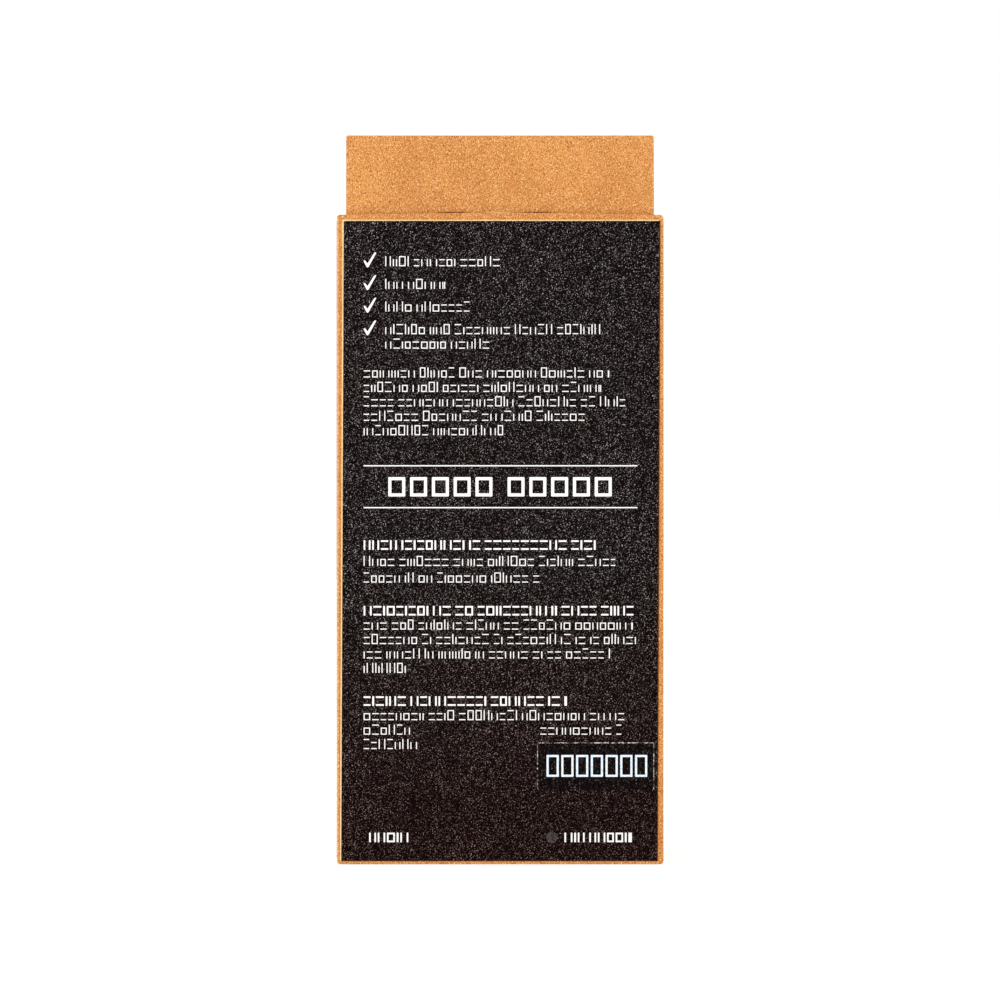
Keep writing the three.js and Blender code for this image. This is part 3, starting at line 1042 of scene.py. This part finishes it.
def cradle_end(end, level):
    """The shelf at one end of the brush and the leg that keeps it off the lid."""
    shelf_low, shelf_high = span("cradle_top_shelf")
    leg_high = span("cradle_top_leg")[1]
    line = rounded_path(
        [(shelf_low.y, shelf_low.z), (leg_high.y, shelf_low.z), (leg_high.y, leg_high.z)], CREASE_RADIUS, 6
    )
    half = shelf_high.x

    def limits(i):
        return -half, half

    sheet = folded_sheet(
        f"cradle_{end}_end", line, limits, lambda u, v, w: (w, u, level(v)), BOARD, [card, card_edge], 8
    )
    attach(sheet, "carton")
    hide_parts(f"cradle_{end}_shelf", f"cradle_{end}_leg")


cradle_wall()
for end, level in carton_ends():
    cradle_end(end, level)


# ---------------------------------------------------------------- brush

# The block's section from the middle of its back to the rim of its flat face, as shares of its size.
PROFILE = (
    (0, 0), (0.38, 0.03), (0.7, 0.13), (0.9, 0.32), (0.94, 0.5), (0.92, 0.64), (0.97, 0.79), (1, 0.9),
    (0.985, 0.97), (0.96, 1),
)
PROFILE_STEPS = 5
TURN_STEPS = 96


def smooth_profile(knots, steps):
    """A Catmull-Rom curve through the knots."""
    points = [Vector(k) for k in knots]
    padded = [points[0]] + points + [points[-1]]
    curve = []
    for i in range(1, len(padded) - 2):
        a, b, c, d = padded[i - 1 : i + 3]
        for step in range(steps):
            t = step / steps
            square = (2 * a - 5 * b + 4 * c - d) * t**2
            cube = (3 * b - a - 3 * c + d) * t**3
            curve.append(0.5 * (2 * b + (c - a) * t + square + cube))
    return curve + [points[-1]]


def brush_block():
    """The oval wooden block, with a domed back, a finger groove and a flat face."""
    low, high = span("brush_body")
    middle = (low + high) / 2
    half_x, half_z = (high.x - low.x) / 2, (high.z - low.z) / 2
    thick = high.y - low.y
    curve = smooth_profile(PROFILE, PROFILE_STEPS)[1:]
    points = [(middle.x, low.y, middle.z)]
    for share in curve:
        y = low.y + thick * share.y
        for i in range(TURN_STEPS):
            angle = math.tau * i / TURN_STEPS
            x = middle.x + half_x * share.x * math.cos(angle)
            z = middle.z + half_z * share.x * math.sin(angle)
            points.append((x, y, z))
    faces = []
    for i in range(TURN_STEPS):
        faces.append((0, 1 + i, 1 + (i + 1) % TURN_STEPS))
    for ring in range(len(curve) - 1):
        for i in range(TURN_STEPS):
            a = 1 + ring * TURN_STEPS + i
            b = 1 + ring * TURN_STEPS + (i + 1) % TURN_STEPS
            faces.append((a, a + TURN_STEPS, b + TURN_STEPS, b))
    rim = 1 + (len(curve) - 1) * TURN_STEPS
    faces.append(tuple(rim + i for i in range(TURN_STEPS)))
    block = mesh_object("brush_wood_block", points, faces, [beech], smooth_angle=50)
    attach(block, "carton")
    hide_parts("brush_body")


brush_block()

ROWS = 9
TUFT_PITCH = 4.5
TUFT_RADIUS = 1.15
TUFT_END_ROOM = 0.4
HOLE_RADIUS = 1.35
BRISTLES_PER_TUFT = 40
GOLDEN_ANGLE = 2.39996


def tuft_row(row):
    """One row of tufts, each a bunch of separate bristles in a drilled hole."""
    node = f"bristle_row_{row}"
    low, high = span(node)
    middle_x = (low.x + high.x) / 2
    length = high.z - low.z
    margin = TUFT_RADIUS + TUFT_END_ROOM
    count = max(2, round((length - 2 * TUFT_RADIUS) / TUFT_PITCH) + 1)
    points, faces, slots = [], [], []
    for tuft in range(count):
        z = low.z + margin + (length - 2 * margin) * tuft / (count - 1)
        root_hole(points, faces, slots, middle_x, low.y, z)
        for strand in range(BRISTLES_PER_TUFT):
            bristle(points, faces, slots, middle_x, z, low.y, high.y, strand)
    tufts = mesh_object(f"tufts_{row}", points, faces, [bristles, cut_shadow], slots, smooth_angle=60)
    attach(tufts, "carton")
    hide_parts(node)


def root_hole(points, faces, slots, x, y, z):
    """The mouth of the drilled hole that a tuft is set in: a dark disc of painted shade in place of the
    hole's depth.
    """
    before = len(faces)
    prism_into(points, faces, circle(x, z, HOLE_RADIUS, 12), y - 0.08, y + 0.02)
    slots.extend([1] * (len(faces) - before))


def bristle(points, faces, slots, x, z, root, tip, strand):
    """A three-sided tapered strand from the hole to the trimmed height. It leans out and bends a little."""
    angle = strand * GOLDEN_ANGLE
    out = math.sqrt((strand + 0.5) / BRISTLES_PER_TUFT)
    spread = TUFT_RADIUS * out
    lean = 0.55 + 0.5 * random.random()
    dx, dz = math.cos(angle), math.sin(angle)
    bend = random.uniform(-0.25, 0.25)
    end = tip - random.uniform(0, 0.5) - 0.35 * out
    stations = (
        (root - 0.05, spread * 0.72, 0, 0.16),
        ((root + end) / 2, spread * (0.75 + 0.2 * lean), bend * 0.4, 0.15),
        (end, spread * (0.8 + 0.55 * lean), bend, 0.07),
    )
    start = len(points)
    for y, out_by, side, radius in stations:
        cx = x + dx * out_by - dz * side
        cz = z + dz * out_by + dx * side
        for k in range(3):
            turn = angle + math.tau * k / 3
            points.append((cx + radius * math.cos(turn), y, cz + radius * math.sin(turn)))
    before = len(faces)
    faces.append((start, start + 1, start + 2))
    for level in (0, 3):
        for k in range(3):
            a = start + level + k
            b = start + level + (k + 1) % 3
            faces.append((a, b, b + 3, a + 3))
    faces.append((start + 8, start + 7, start + 6))
    slots.extend([0] * (len(faces) - before))


row_low, row_high = span("bristle_row_5")
bristles = bristle_look(row_low.y, row_high.y)
for row in range(1, ROWS + 1):
    tuft_row(row)


# ---------------------------------------------------------------- floor, light and camera

VIEW_HEIGHT = 72.4
VIEW_WIDTH = 198.75
DISTANCE = 836
SENSOR = 36
FLOOR_HALF = 3000
FLOOR_DROP = 0.05
KEY_PLACE = (-420, -620, 620)
KEY_AIM = (0, 0, 70)
KEY_SIZE = 420
KEY_POWER = 1.6


def floor():
    """A pale floor just under the carton. It glows a little, painted light that brightens it and thins the
    carton's contact shadow on it.
    """
    corners = [(-1, -1), (1, -1), (1, 1), (-1, 1)]
    points = [(x * FLOOR_HALF, y * FLOOR_HALF, -FLOOR_DROP) for x, y in corners]
    plane = mesh_object("floor", points, [(0, 1, 2, 3)], [glowing_floor_look()])


def glowing_floor_look():
    look = Look("pale_glowing_floor")
    # The floor's glow is painted light: it fills in the contact shadow and lights the carton from below.
    look.shader.inputs["Emission Color"].default_value = (1, 1, 1, 1)
    look.shader.inputs["Emission Strength"].default_value = 0.6
    return look.finish((0.6, 0.6, 0.6), 1.0, 0.0)


def key_light():
    """A soft round lamp above and to the left of the labelled back."""
    light = bpy.data.lights.new("key", "AREA")
    light.shape = "DISK"
    light.size = KEY_SIZE * MM
    light.energy = KEY_POWER
    obj = bpy.data.objects.new("key", light)
    obj.location = Vector(KEY_PLACE) * MM
    direction = (Vector(KEY_AIM) - Vector(KEY_PLACE)).normalized()
    obj.rotation_euler = direction.to_track_quat("-Z", "Y").to_euler()
    bpy.context.collection.objects.link(obj)


def studio():
    """Even white light from all around."""
    world = bpy.data.worlds.new("studio")
    world.use_nodes = True
    world.node_tree.nodes["Background"].inputs["Color"].default_value = (1, 1, 1, 1)
    world.node_tree.nodes["Background"].inputs["Strength"].default_value = 1.0
    bpy.context.scene.world = world


def camera():
    """Level and square to the labelled back, with the lens that frames VIEW_WIDTH at its distance."""
    lens = bpy.data.cameras.new("camera")
    lens.sensor_width = SENSOR
    lens.lens = SENSOR * DISTANCE / VIEW_WIDTH
    lens.clip_end = 20
    obj = bpy.data.objects.new("camera", lens)
    obj.location = (0, (BACK - DISTANCE) * MM, VIEW_HEIGHT * MM)
    obj.rotation_euler = (math.pi / 2, 0, 0)
    bpy.context.collection.objects.link(obj)
    bpy.context.scene.camera = obj


floor()
studio()
key_light()
camera()
bpy.context.scene.view_settings.view_transform = "Standard"
